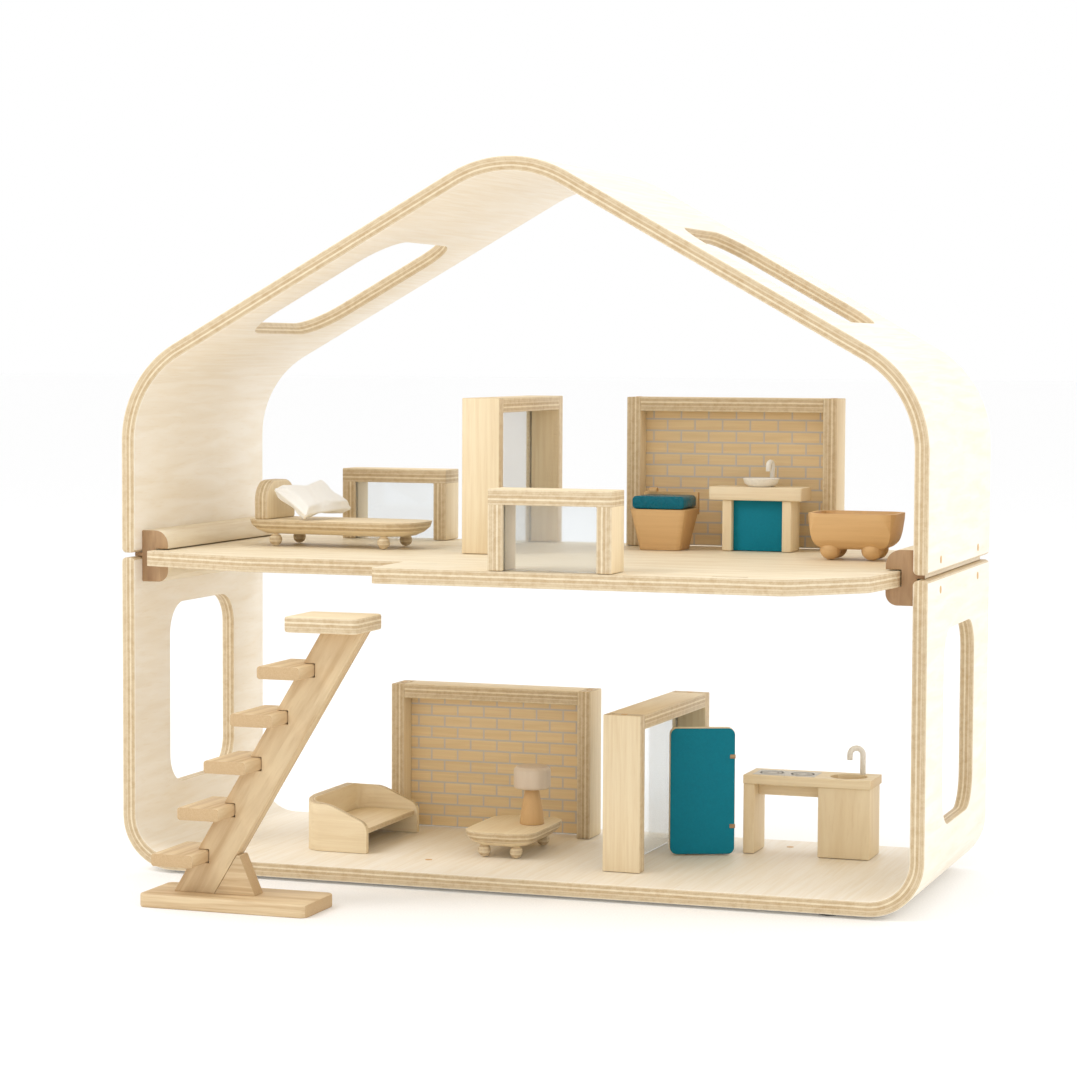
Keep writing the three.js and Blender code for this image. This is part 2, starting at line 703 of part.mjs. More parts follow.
// ---------------------------------------------------------------- kitchen counter
const KITCHEN = { x: 111.7, width: 82, y: 134, legH: 44.3, top: 5.7, depth: 32.5 };

function buildKitchen() {
  const { x, width, y, legH, top, depth } = KITCHEN;
  const kitchen = groupAt(x, y, GROUND_FLOOR + REST, 0);
  const sink = new THREE.CylinderGeometry(11.6, 11.6, 12, 32).rotateX(Math.PI / 2);
  sink.translate(64.6, 15.5, legH);
  const tapHole = { x: 70.7, y: 28 };
  add(kitchen, "kitchen_top", cut(box(0, width, 0, depth, legH, legH + top), sink.clone()), MAT.frame);
  add(kitchen, "kitchen_leg", box(0, 7.2, 1, depth - 4.5, 0, legH), MAT.frame);
  const bowl = new THREE.CylinderGeometry(11.6, 9.5, 24, 32).rotateX(Math.PI / 2);
  bowl.translate(64.6, 15.5, legH);
  const cabinet = box(48.2, width - 0.7, 1, depth - 2.5, 0, legH);
  add(kitchen, "kitchen_cabinet", cut(cabinet, bowl), MAT.frame);
  add(kitchen, "kitchen_apron", box(7.2, 48.2, 11.5, 19.5, legH - 8, legH), MAT.frame);
  const spout = hookTap(8.2, 12.5, 1.8);
  const tap = add(kitchen, "kitchen_tap", spout, MAT.white, tapHole.x, tapHole.y, legH + top);
  tap.rotation.z = THREE.MathUtils.degToRad(12);
}
buildKitchen();

// The part's own origin is under the middle of its bounding box.
const FRONT_Y = STAIR_Y - TREAD.depth / 2 - 5;
house.position.y = -(FRONT_Y + HOUSE_D) / 2;

export default house;
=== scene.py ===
# %% [markdown]
# # A wooden dollhouse, dressed from its solid model
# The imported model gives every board, post and tread at its true place, in metres. This
# script eases the sharp edges of those boards, gives each one a real finish, sews a small
# pillow and adds the plugs, tabs and printed rings that are too small for the solid model.

import math

import bmesh
import bpy
from mathutils import Matrix, Vector
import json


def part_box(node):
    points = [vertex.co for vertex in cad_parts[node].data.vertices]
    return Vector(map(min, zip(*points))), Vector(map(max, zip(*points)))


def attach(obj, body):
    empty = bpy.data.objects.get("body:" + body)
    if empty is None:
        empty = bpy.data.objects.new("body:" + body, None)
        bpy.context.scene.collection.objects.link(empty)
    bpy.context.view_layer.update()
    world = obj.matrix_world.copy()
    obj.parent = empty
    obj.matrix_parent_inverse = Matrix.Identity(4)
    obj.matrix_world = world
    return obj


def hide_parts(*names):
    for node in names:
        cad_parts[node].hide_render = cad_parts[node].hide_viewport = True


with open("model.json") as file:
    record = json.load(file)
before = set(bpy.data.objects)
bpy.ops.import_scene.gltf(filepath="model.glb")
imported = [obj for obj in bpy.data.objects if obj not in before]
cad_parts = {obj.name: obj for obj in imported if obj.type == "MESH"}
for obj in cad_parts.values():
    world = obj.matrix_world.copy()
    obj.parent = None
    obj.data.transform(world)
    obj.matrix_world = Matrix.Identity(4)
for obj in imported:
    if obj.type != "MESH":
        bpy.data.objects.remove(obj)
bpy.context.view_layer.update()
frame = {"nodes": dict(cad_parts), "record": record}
SLOT_OF = {row["node"]: row["material_slot"] for row in frame["record"]["subparts"]}
BODY_OF = {}
for body_name, node_names in frame["record"]["behaviour"]["bodies"].items():
    for node_name in node_names:
        BODY_OF[node_name] = body_name

# %% [markdown]
# ## Camera, floor and light
# The house is seen from its open side, a little from the right and from just above, with
# a long lens. A large pale floor and three soft lamps stand in for a photo studio.

# %% Camera
CAMERA_AT = Vector((0.583, -1.6853, 0.3245))
CAMERA_YAW = 0.3295
CAMERA_PITCH = 0.0623
CAMERA_ROLL = 0.0046
LENS_MM = 97.94

camera_data = bpy.data.cameras.new("studio_camera")
camera_data.lens = LENS_MM
camera_data.sensor_width = 36
camera = bpy.data.objects.new("studio_camera", camera_data)
aim = Matrix.Rotation(CAMERA_YAW, 4, "Z") @ Matrix.Rotation(math.pi / 2 - CAMERA_PITCH, 4, "X")
camera.matrix_world = Matrix.Translation(CAMERA_AT) @ aim @ Matrix.Rotation(CAMERA_ROLL, 4, "Z")
bpy.context.collection.objects.link(camera)
bpy.context.scene.camera = camera
print("camera at", tuple(round(value, 3) for value in CAMERA_AT))


# %% Floor and lights
def lamp(name, size, power, place, target):
    data = bpy.data.lights.new(name, "AREA")
    data.shape = "DISK"
    data.size = size
    data.energy = power
    lamp_object = bpy.data.objects.new(name, data)
    turn = (Vector(target) - Vector(place)).to_track_quat("-Z", "Y").to_matrix().to_4x4()
    lamp_object.matrix_world = Matrix.Translation(place) @ turn
    bpy.context.collection.objects.link(lamp_object)
    return lamp_object


lamp("key_light", 0.9, 15, (-1.1, -1.2, 1.9), (0, 0, 0.15))
lamp("side_light", 1.2, 8, (1.9, 0.3, 1.2), (0, 0, 0.15))
lamp("top_light", 1.6, 4, (0.1, 0.6, 2.2), (0, 0, 0.2))
world = bpy.data.worlds.new("studio_air")
bpy.context.scene.world = world
world.use_nodes = True
world.node_tree.nodes["Background"].inputs["Color"].default_value = (1.0, 1.0, 1.0, 1)
world.node_tree.nodes["Background"].inputs["Strength"].default_value = 1.0
bpy.context.scene.view_settings.view_transform = "Standard"

floor_mesh = bpy.data.meshes.new("studio_floor")
floor_form = bmesh.new()
bmesh.ops.create_grid(floor_form, x_segments=1, y_segments=1, size=40)
floor_form.to_mesh(floor_mesh)
floor_form.free()
studio_floor = bpy.data.objects.new("studio_floor", floor_mesh)
bpy.context.collection.objects.link(studio_floor)
print("floor and lights are set")


# %% [markdown]
# ## Node helpers
# Every finish below is a small tree of shader nodes. Two helpers keep them readable: one
# adds a node and links or sets its inputs, and one does arithmetic.

# %% Node helpers
def node(tree, kind, settings=None, **inputs):
    made = tree.nodes.new(kind)
    for key, value in (settings or {}).items():
        setattr(made, key, value)
    for key, value in inputs.items():
        name = key.replace("_", " ")
        socket = made.inputs[int(key[1:])] if key[1:].isdigit() else made.inputs[name]
        if isinstance(value, bpy.types.NodeSocket):
            tree.links.new(value, socket)
        else:
            socket.default_value = value
    return made


def calc(tree, operation, first, second=0.0, third=0.0):
    made = node(tree, "ShaderNodeMath", {"operation": operation}, i0=first, i1=second, i2=third)
    return made.outputs[0]


def blend_colours(tree, factor, first, second, mode="MIX"):
    settings = {"data_type": "RGBA", "blend_type": mode}
    mix = node(tree, "ShaderNodeMix", settings, i0=factor, i6=first, i7=second)
    return mix.outputs[2]


def srgb(red, green, blue):
    def linear(value):
        value /= 255
        return value / 12.92 if value <= 0.04045 else ((value + 0.055) / 1.055) ** 2.4

    return (linear(red), linear(green), linear(blue), 1.0)


def new_group(name, takes, gives):
    group = bpy.data.node_groups.new(name, "ShaderNodeTree")
    for label, kind in takes:
        group.interface.new_socket(label, in_out="INPUT", socket_type="NodeSocket" + kind)
    for label, kind in gives:
        group.interface.new_socket(label, in_out="OUTPUT", socket_type="NodeSocket" + kind)
    start = group.nodes.new("NodeGroupInput")
    end = group.nodes.new("NodeGroupOutput")
    return group, start.outputs, end.inputs


print("node helpers ready")

# %% [markdown]
# ## Wood grain
# Sawn and peeled wood shows long streaks along the grain, with short dark pores. Noise
# stretched along one axis gives both, and the stretch comes in as a vector so that the
# same group serves boards that lie in any direction.


# %% Wood grain group
def make_grain_group():
    takes = [
        ("Position", "Vector"),
        ("Stretch", "Vector"),
        ("Light", "Color"),
        ("Dark", "Color"),
        ("Strength", "Float"),
    ]
    gives = [("Color", "Color"), ("Height", "Float")]
    group, given, result = new_group("wood_grain", takes, gives)
    times = {"operation": "MULTIPLY"}
    scaled = node(group, "ShaderNodeVectorMath", times, i0=given["Position"], i1=given["Stretch"])
    drawn = scaled.outputs[0]
    streak = node(group, "ShaderNodeTexNoise", Vector=drawn, Scale=1.0, Detail=5.0, Distortion=0.6)
    pores = node(group, "ShaderNodeTexNoise", Vector=drawn, Scale=5.5, Detail=2.0)
    cloud = node(group, "ShaderNodeTexNoise", Vector=given["Position"], Scale=14.0, Detail=2.0)
    wide = node(group, "ShaderNodeMapRange", i0=streak.outputs[0], i1=0.36, i2=0.66)
    fine = node(group, "ShaderNodeMapRange", i0=pores.outputs[0], i1=0.56, i2=0.74)
    dark = calc(group, "MULTIPLY", wide.outputs[0], given["Strength"])
    dark = calc(group, "ADD", dark, calc(group, "MULTIPLY", fine.outputs[0], 0.16))
    dark = calc(group, "ADD", dark, calc(group, "MULTIPLY", cloud.outputs[0], 0.16))
    colour = blend_colours(group, dark, given["Light"], given["Dark"])
    group.links.new(colour, result["Color"])
    group.links.new(calc(group, "MULTIPLY", dark, -0.4), result["Height"])
    return group


GRAIN = make_grain_group()
print("made group", GRAIN.name)

# %% [markdown]
# ## Ply edges
# A cut edge of plywood shows its veneers as stripes: long-grain plies are pale, cross-grain
# plies are darker and rougher, and a thin brown glue line lies between them. The group
# takes how deep a point lies in the board, from 0 at one face to 1 at the other.


# %% Ply edge group
def make_ply_group():
    takes = [
        ("Position", "Vector"),
        ("Depth", "Float"),
        ("Plies", "Float"),
        ("Light", "Color"),
        ("Dark", "Color"),
    ]
    gives = [("Color", "Color"), ("Height", "Float")]
    group, given, result = new_group("ply_edge", takes, gives)
    wander = node(group, "ShaderNodeTexNoise", Vector=given["Position"], Scale=90.0, Detail=3.0)
    drift = calc(group, "MULTIPLY", calc(group, "SUBTRACT", wander.outputs[0], 0.5), 0.05)
    count = calc(group, "MULTIPLY", calc(group, "ADD", given["Depth"], drift), given["Plies"])
    part = calc(group, "FRACT", count)
    which = calc(group, "FLOOR", count)
    tint = node(group, "ShaderNodeTexWhiteNoise", {"noise_dimensions": "1D"}, W=which).outputs["Value"]
    odd = calc(group, "MULTIPLY", calc(group, "FLOORED_MODULO", which, 2.0), 0.35)
    glue = calc(group, "LESS_THAN", calc(group, "PINGPONG", part, 0.5), 0.07)
    fibre = node(group, "ShaderNodeTexNoise", Vector=given["Position"], Scale=260.0, Detail=4.0)
    streaks = node(group, "ShaderNodeMapRange", i0=fibre.outputs[0], i1=0.42, i2=0.68)
    speck = node(group, "ShaderNodeTexNoise", Vector=given["Position"], Scale=900.0, Detail=3.0)
    spots = node(group, "ShaderNodeMapRange", i0=speck.outputs[0], i1=0.45, i2=0.7)
    shade = calc(group, "ADD", odd, calc(group, "MULTIPLY", tint, 0.3))
    shade = calc(group, "ADD", shade, calc(group, "MULTIPLY", glue, 0.38))
    shade = calc(group, "ADD", shade, calc(group, "MULTIPLY", streaks.outputs[0], 0.22))
    shade = calc(group, "ADD", shade, calc(group, "MULTIPLY", spots.outputs[0], 0.12))
    colour = blend_colours(group, shade, given["Light"], given["Dark"])
    group.links.new(colour, result["Color"])
    group.links.new(calc(group, "MULTIPLY", shade, -0.6), result["Height"])
    return group


PLY = make_ply_group()
print("made group", PLY.name)

# %% [markdown]
# ## Building a board material
# A board has two faces with long grain and a rim of ply edges. Which is which follows from
# the surface direction: along the board's thin axis it is a face, across it an edge. A
# frame that stands turned has its pattern turned with it by a Mapping node.

# %% Wood colours
EDGE_LIGHT = srgb(233, 217, 185)
EDGE_DARK = srgb(182, 151, 108)
WOODS = {
    "birch_ply": (srgb(250, 243, 230), srgb(231, 212, 178), 0.30),
    "floor_ply": (srgb(241, 229, 203), srgb(214, 190, 150), 0.40),
    "rail_wood": (srgb(240, 228, 203), srgb(211, 188, 150), 0.40),
    "rail_end": (srgb(190, 157, 118), srgb(148, 112, 80), 0.70),
    "frame_ply": (srgb(243, 226, 192), srgb(216, 187, 143), 0.32),
    "panel_ply": (srgb(243, 218, 172), srgb(216, 183, 132), 0.35),
    "pale_ply": (srgb(241, 225, 194), srgb(212, 184, 141), 0.45),
    "stair_ply": (srgb(228, 205, 166), srgb(183, 148, 104), 0.55),
    "moulded_wood": (srgb(220, 181, 128), srgb(192, 149, 98), 0.20),
    "shade_wood": (srgb(222, 205, 184), srgb(198, 176, 152), 0.25),
}
SHELL_WIDTH = 0.510
PLY_THICKNESS = 0.009
BOARD_PLIES = 7.0
GRAIN_ALONG = 16.0
GRAIN_ACROSS = 420.0
GRAIN_BROAD = 130.0
EDGE_FACING = 0.75
AXES = {"X": 0, "Y": 1, "Z": 2}
print("defined", len(WOODS), "woods")


# %% Board material parts
def new_material(name):
    material = bpy.data.materials.new(name)
    material.use_nodes = True
    tree = material.node_tree
    return material, tree, tree.nodes["Principled BSDF"]


def local_place(tree, centre, turn, lean=0.0):
    place = node(tree, "ShaderNodeTexCoord")
    shift = [-value for value in centre]
    moved = node(tree, "ShaderNodeVectorMath", {"operation": "ADD"}, i0=place.outputs["Object"], i1=shift)
    angle = (0.0, -math.radians(lean), -math.radians(turn))
    turned = node(tree, "ShaderNodeMapping", Vector=moved.outputs[0], Rotation=angle)
    facing = node(tree, "ShaderNodeMapping", Vector=place.outputs["Normal"], Rotation=angle)
    return turned.outputs[0], facing.outputs[0]


def part_of(tree, vector, axis):
    return node(tree, "ShaderNodeSeparateXYZ", Vector=vector).outputs[AXES[axis]]


def grain_on(tree, position, slot, along):
    light, dark, strength = WOODS[slot]
    stretch = [GRAIN_ACROSS, GRAIN_ACROSS, GRAIN_ACROSS]
    stretch[AXES[along]] = GRAIN_ALONG
    stretch[(AXES[along] + 1) % 3] = GRAIN_BROAD
    made = node(tree, "ShaderNodeGroup", {"node_tree": GRAIN}, Position=position, Stretch=stretch)
    made.inputs["Light"].default_value = light
    made.inputs["Dark"].default_value = dark
    made.inputs["Strength"].default_value = strength
    return made.outputs


def plies_on(tree, position, depth, plies):
    made = node(tree, "ShaderNodeGroup", {"node_tree": PLY}, Position=position, Depth=depth, Plies=plies)
    made.inputs["Light"].default_value = EDGE_LIGHT
    made.inputs["Dark"].default_value = EDGE_DARK
    return made.outputs


def finish_wood(tree, shader, colour, height, roughness=0.55):
    bump = node(tree, "ShaderNodeBump", Strength=0.25, Distance=0.0004, Height=height)
    tree.links.new(colour, shader.inputs["Base Color"])
    tree.links.new(bump.outputs[0], shader.inputs["Normal"])
    shader.inputs["Roughness"].default_value = roughness
    shader.inputs["Specular IOR Level"].default_value = 0.35


print("board material parts ready")


# %% Flat boards
def board_material(name, slot, thin, along, centre, low, thickness, turn=0.0, plies=BOARD_PLIES):
    material, tree, shader = new_material(name)
    position, facing = local_place(tree, centre, turn)
    face = grain_on(tree, position, slot, along)
    depth = calc(tree, "DIVIDE", calc(tree, "SUBTRACT", part_of(tree, position, thin), low), thickness)
    edge = plies_on(tree, position, depth, plies)
    toward_face = calc(tree, "ABSOLUTE", part_of(tree, facing, thin))
    is_edge = calc(tree, "LESS_THAN", toward_face, EDGE_FACING)
    colour = blend_colours(tree, is_edge, face["Color"], edge["Color"])
    height = calc(tree, "ADD", face["Height"], calc(tree, "MULTIPLY", edge["Height"], is_edge))
    finish_wood(tree, shader, colour, height)
    return material


def end_grain_on(tree, position, slot):
    """A calm, even tone between the slot's two, where the pores are cut across."""
    light, dark, _ = WOODS[slot]
    pores = node(tree, "ShaderNodeTexNoise", Vector=position, Scale=2200.0, Detail=3.0)
    amount = node(tree, "ShaderNodeMapRange", i0=pores.outputs[0], i1=0.3, i2=0.7, i3=0.55, i4=0.85)
    return blend_colours(tree, amount.outputs[0], light, dark)


def solid_material(name, slot, along, centre=(0.0, 0.0, 0.0), turn=0.0, lean=0.0):
    material, tree, shader = new_material(name)
    position, facing = local_place(tree, centre, turn, lean)
    face = grain_on(tree, position, slot, along)
    end = end_grain_on(tree, position, slot)
    toward_end = calc(tree, "ABSOLUTE", part_of(tree, facing, along))
    at_end = calc(tree, "GREATER_THAN", toward_end, EDGE_FACING)
    colour = blend_colours(tree, at_end, face["Color"], end)
    finish_wood(tree, shader, colour, face["Height"])
    return material


# %% [markdown]
# ## The bent shells
# On the two shells the veneers run round the bends, so the depth is the distance from the
# outer surface: straight in from a wall or slope, and toward the centre of a bend.


# %% Depth inside a bent shell
def bend_depth(tree, across, up, centre, radius, low_angle, high_angle):
    """Distance in from an outer surface that turns round one centre between two angles."""
    side = calc(tree, "SUBTRACT", across, centre[0])
    rise = calc(tree, "SUBTRACT", up, centre[1])
    angle = calc(tree, "ARCTAN2", rise, side)
    angle = calc(tree, "MINIMUM", calc(tree, "MAXIMUM", angle, low_angle), high_angle)
    reach = calc(tree, "MULTIPLY", side, calc(tree, "COSINE", angle))
    reach = calc(tree, "MULTIPLY_ADD", rise, calc(tree, "SINE", angle), reach)
    return calc(tree, "SUBTRACT", radius, reach)


FACE_VENEER = 0.04


def shell_material(name, bends, long_axis="Y"):
    material, tree, shader = new_material(name)
    position, facing = local_place(tree, (0, 0, 0), 0)
    across = calc(tree, "ABSOLUTE", part_of(tree, position, "X"))
    up = part_of(tree, position, "Z")
    depth = bend_depth(tree, across, up, *bends[0])
    for bend in bends[1:]:
        depth = calc(tree, "MINIMUM", depth, bend_depth(tree, across, up, *bend))
    share = calc(tree, "DIVIDE", depth, PLY_THICKNESS)
    face = grain_on(tree, position, "birch_ply", long_axis)
    edge = plies_on(tree, position, share, BOARD_PLIES)
    past_outer = calc(tree, "GREATER_THAN", share, FACE_VENEER)
    before_inner = calc(tree, "LESS_THAN", share, 1.0 - FACE_VENEER)
    inside = calc(tree, "MULTIPLY", past_outer, before_inner)
    colour = blend_colours(tree, inside, face["Color"], edge["Color"])
    height = calc(tree, "ADD", face["Height"], calc(tree, "MULTIPLY", edge["Height"], inside))
    finish_wood(tree, shader, colour, height, 0.5)
    return material


HALF_SHELL = SHELL_WIDTH / 2
BASE_BEND = 0.0335
EAVE_BEND = 0.070
RIDGE_BEND = 0.076
ROOF_APEX = 0.454
SLOPE = math.radians(29.3)
SLOPE_NORMAL = math.pi / 2 - SLOPE
GROUND_LIFT = 0.002

base_centre = (HALF_SHELL - BASE_BEND, GROUND_LIFT + BASE_BEND)
eave_side = HALF_SHELL - EAVE_BEND
eave_rise = ROOF_APEX - EAVE_BEND / math.cos(SLOPE) - eave_side * math.tan(SLOPE)
ridge_rise = ROOF_APEX - RIDGE_BEND / math.cos(SLOPE)
base_material = shell_material("base_shell_ply", [(base_centre, BASE_BEND, -math.pi / 2, 0.0)])
roof_bends = [
    ((eave_side, eave_rise), EAVE_BEND, 0.0, SLOPE_NORMAL),
    ((0.0, ridge_rise), RIDGE_BEND, SLOPE_NORMAL, math.pi / 2),
]
roof_material = shell_material("roof_shell_ply", roof_bends)
print("bent shell materials ready")


# %% [markdown]
# ## Painted, clear and soft finishes
# Teal paint sits on the wood with a faint brush texture. The clear panes are acrylic. The
# rubber feet are plain, and the brick panels carry a printed bond of pale mortar lines.


# %% Paints, prints and rubber
PAINT_SPECULAR = 0.2


def paint_material(name, colour, roughness, bumps, depth=0.0002):
    material, tree, shader = new_material(name)
    place = node(tree, "ShaderNodeTexCoord")
    texture = node(tree, "ShaderNodeTexNoise", Vector=place.outputs["Object"], Scale=bumps, Detail=4.0)
    shade = node(tree, "ShaderNodeMapRange", i0=texture.outputs[0], i1=0.3, i2=0.7, i3=0.0, i4=0.25)
    darker = [value * 0.6 for value in colour[:3]] + [1.0]
    mixed = blend_colours(tree, shade.outputs[0], colour, darker)
    bump = node(tree, "ShaderNodeBump", Strength=0.5, Distance=depth, Height=texture.outputs[0])
    tree.links.new(mixed, shader.inputs["Base Color"])
    tree.links.new(bump.outputs[0], shader.inputs["Normal"])
    shader.inputs["Roughness"].default_value = roughness
    shader.inputs["Specular IOR Level"].default_value = PAINT_SPECULAR
    return material


teal_paint = paint_material("teal_paint", srgb(0, 128, 152), 0.6, 700.0)
lid_paint = paint_material("lid_paint", srgb(0, 104, 124), 0.25, 420.0, 0.002)
white_paint = paint_material("white_paint", srgb(246, 242, 233), 0.45, 600.0)
rubber = paint_material("rubber", srgb(38, 38, 38), 0.85, 900.0)
hob_print = paint_material("hob_print", srgb(216, 212, 204), 0.5, 900.0)
hob_ring_print = paint_material("hob_ring_print", srgb(230, 227, 222), 0.5, 900.0)
floor_paint = paint_material("studio_floor", srgb(252, 252, 252), 0.95, 900.0, 0.00002)
floor_shader = floor_paint.node_tree.nodes["Principled BSDF"]
floor_shader.inputs["Emission Color"].default_value = (1, 1, 1, 1)
floor_shader.inputs["Emission Strength"].default_value = 0.06
studio_floor.data.materials.append(floor_paint)
print("paints ready")


# %% Clear acrylic and printed bricks
def acrylic_material():
    material, tree, shader = new_material("clear_acrylic")
    place = node(tree, "ShaderNodeTexCoord")
    haze = node(tree, "ShaderNodeTexNoise", Vector=place.outputs["Object"], Scale=60.0, Detail=3.0)
    rough = node(tree, "ShaderNodeMapRange", i0=haze.outputs[0], i3=0.02, i4=0.07)
    tree.links.new(rough.outputs[0], shader.inputs["Roughness"])
    shader.inputs["Base Color"].default_value = srgb(244, 247, 248)
    shader.inputs["Transmission Weight"].default_value = 0.92
    shader.inputs["IOR"].default_value = 1.45
    return material


acrylic = acrylic_material()
BRICK_LONG = 0.0184
BRICK_HIGH = 0.0074
MORTAR = 0.0009


def brick_material(name, centre, bottom):
    material, tree, shader = new_material(name)
    position, _ = local_place(tree, (centre[0], centre[1], bottom), 0)
    flat = node(tree, "ShaderNodeMapping", Vector=position, Rotation=(-math.pi / 2, 0.0, 0.0))
    bricks = node(
        tree,
        "ShaderNodeTexBrick",
        Vector=flat.outputs[0],
        Scale=1.0,
        Color1=(1.0, 1.0, 1.0, 1.0),
        Color2=(0.82, 0.82, 0.82, 1.0),
        Mortar=(0.0, 0.0, 0.0, 1.0),
        Mortar_Size=MORTAR * 0.62,
        Mortar_Smooth=0.1,
        Brick_Width=BRICK_LONG,
        Row_Height=BRICK_HIGH,
    )
    face = grain_on(tree, position, "panel_ply", "X")
    tinted = blend_colours(tree, 0.25, face["Color"], bricks.outputs["Color"], "MULTIPLY")
    mortar = calc(tree, "MULTIPLY", bricks.outputs["Fac"], 0.85)
    colour = blend_colours(tree, mortar, tinted, srgb(206, 200, 198))
    finish_wood(tree, shader, colour, face["Height"], 0.6)
    return material


print("acrylic and brick ready")


# %% Cotton cloth
THREADS = 420.0


def cotton_material():
    material, tree, shader = new_material("cotton_cloth")
    place = node(tree, "ShaderNodeTexCoord").outputs["Object"]
    level = {"bands_direction": "Y"}
    slanted = {"bands_direction": "DIAGONAL"}
    warp = node(tree, "ShaderNodeTexWave", level, Vector=place, Scale=THREADS, Distortion=0.4)
    weft = node(tree, "ShaderNodeTexWave", slanted, Vector=place, Scale=THREADS, Distortion=0.4)
    weave = calc(tree, "MULTIPLY", warp.outputs["Fac"], weft.outputs["Fac"])
    creases = node(tree, "ShaderNodeTexNoise", Vector=place, Scale=110.0, Detail=3.0)
    height = calc(tree, "ADD", calc(tree, "MULTIPLY", weave, 0.35), creases.outputs[0])
    tone = calc(tree, "MULTIPLY", weave, 0.4)
    colour = blend_colours(tree, tone, srgb(250, 248, 243), srgb(222, 217, 208))
    bump = node(tree, "ShaderNodeBump", Strength=0.5, Distance=0.0006, Height=height)
    tree.links.new(colour, shader.inputs["Base Color"])
    tree.links.new(bump.outputs[0], shader.inputs["Normal"])
    shader.inputs["Roughness"].default_value = 0.95
    shader.inputs["Sheen Weight"].default_value = 0.25
    return material


cotton = cotton_material()
print("cotton ready")

# %% [markdown]
# ## Easing the edges
# Sanded plywood has no razor edges. Each wooden node is copied, its triangles are merged
# into clean faces, and every corner sharper than 35 degrees gets a small round bevel.

# %% Eased copies of the wooden boards
SHARP = math.radians(35)


def eased_copy(node_name, material, width=0.0005, segments=2):
    source = frame["nodes"][node_name]
    mesh = bpy.data.meshes.new("eased_" + node_name)
    form = bmesh.new()
    form.from_mesh(source.data)
    bmesh.ops.remove_doubles(form, verts=form.verts, dist=0.000002)
    bmesh.ops.dissolve_limit(form, angle_limit=math.radians(0.5), verts=form.verts, edges=form.edges)
    sharp = [edge for edge in form.edges if len(edge.link_faces) == 2 and edge.calc_face_angle(0) > SHARP]
    bmesh.ops.bevel(
        form,
        geom=sharp,
        offset=width,
        offset_type="OFFSET",
        affect="EDGES",
        segments=segments,
        profile=0.5,
        material=-1,
        clamp_overlap=True,
    )
    bmesh.ops.triangulate(form, faces=[face for face in form.faces if len(face.verts) > 4])
    form.to_mesh(mesh)
    form.free()
    mesh.polygons.foreach_set("use_smooth", [True] * len(mesh.polygons))
    mesh.set_sharp_from_angle(angle=SHARP)
    mesh.materials.append(material)
    piece = bpy.data.objects.new("eased_" + node_name, mesh)
    bpy.context.collection.objects.link(piece)
    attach(piece, BODY_OF[node_name])
    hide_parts(node_name)
    return piece


def paint_node(node_name, material):
    mesh = frame["nodes"][node_name].data
    mesh.materials.clear()
    mesh.materials.append(material)


def middle_of(node_name):
    low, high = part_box(node_name)
    return [(a + b) / 2 for a, b in zip(low, high)]


def board(node_name, thin, along, turn=0.0, thickness=PLY_THICKNESS, plies=BOARD_PLIES, width=0.0005):
    centre = middle_of(node_name)
    slot = SLOT_OF[node_name]
    name = node_name + "_finish"
    material = board_material(name, slot, thin, along, centre, -thickness / 2, thickness, turn, plies)
    return eased_copy(node_name, material, width)


print("easing helpers ready")

# %% [markdown]
# ## Dressing the house
# The two shells, the two grooved rails and the floor board are the fixed house. Their
# shapes are already right, so each is only eased and given its wood. The rails are solid
# wood, darker where they are cut across, and the direction of the surface tells which.

# %% Shells, rails and floor
eased_copy("base_shell", base_material, 0.0007)
eased_copy("roof_shell", roof_material, 0.0007)
rail_material, rail_tree, rail_shader = new_material("rail_rubberwood")
rail_place, rail_facing = local_place(rail_tree, (0, 0, 0), 0)
rail_side = grain_on(rail_tree, rail_place, "rail_wood", "Y")
rail_end = grain_on(rail_tree, rail_place, "rail_end", "Z")
rail_toward_end = calc(rail_tree, "ABSOLUTE", part_of(rail_tree, rail_facing, "Y"))
at_end = calc(rail_tree, "GREATER_THAN", rail_toward_end, 0.5)
rail_colour = blend_colours(rail_tree, at_end, rail_side["Color"], rail_end["Color"])
finish_wood(rail_tree, rail_shader, rail_colour, rail_side["Height"])
for side in ("left", "right"):
    eased_copy("rail_" + side, rail_material, 0.0004)
board("upper_floor", "Z", "X", width=0.001)
for end in ("front", "back"):
    for side in ("left", "right"):
        paint_node("foot_%s_%s" % (end, side), rubber)
print("house dressed")

# %% [markdown]
# ## The stair
# Five treads sit in the notches of a leaning board. The board has its own material,
# leaned with it, so that its grain runs up the slope instead of straight up. The grain of
# each tread runs front to back, which leaves calm end grain at the front.

# %% Stair
STRINGER_LEAN = 31.0
eased_copy("stair_base", solid_material("stair_base_wood", "stair_ply", "X", (0.2, 0.3, 0.1)), 0.001)
board("stair_platform", "Z", "X", width=0.0012)
eased_copy("stair_stringer", solid_material("stringer_wood", "stair_ply", "Z", lean=STRINGER_LEAN), 0.0004)
eased_copy("stair_wedge", solid_material("wedge_wood", "stair_ply", "X"), 0.0004)
for step in range(1, 6):
    name = "stair_tread_%d" % step
    eased_copy(name, solid_material(name + "_wood", "stair_ply", "Y", middle_of(name)), 0.0004)
print("stair dressed")

# %% [markdown]
# ## Partitions and frames
# Each partition is two posts and a beam in ply round a thin panel or a clear pane. A frame
# that stands turned is given the same turn in its material. Each of the three glazed
# frames is glued into one piece, so its material chooses between posts and beam by place.

# %% Brick walls
for wall in ("bath_wall", "living_wall"):
    board(wall + "_post_left", "X", "Z")
    board(wall + "_post_right", "X", "Z")
    board(wall + "_beam", "Z", "X")
    panel = wall + "_panel"
    low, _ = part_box(panel)
    paint_node(panel, brick_material(wall + "_bricks", middle_of(panel), low[2]))
print("brick walls dressed")

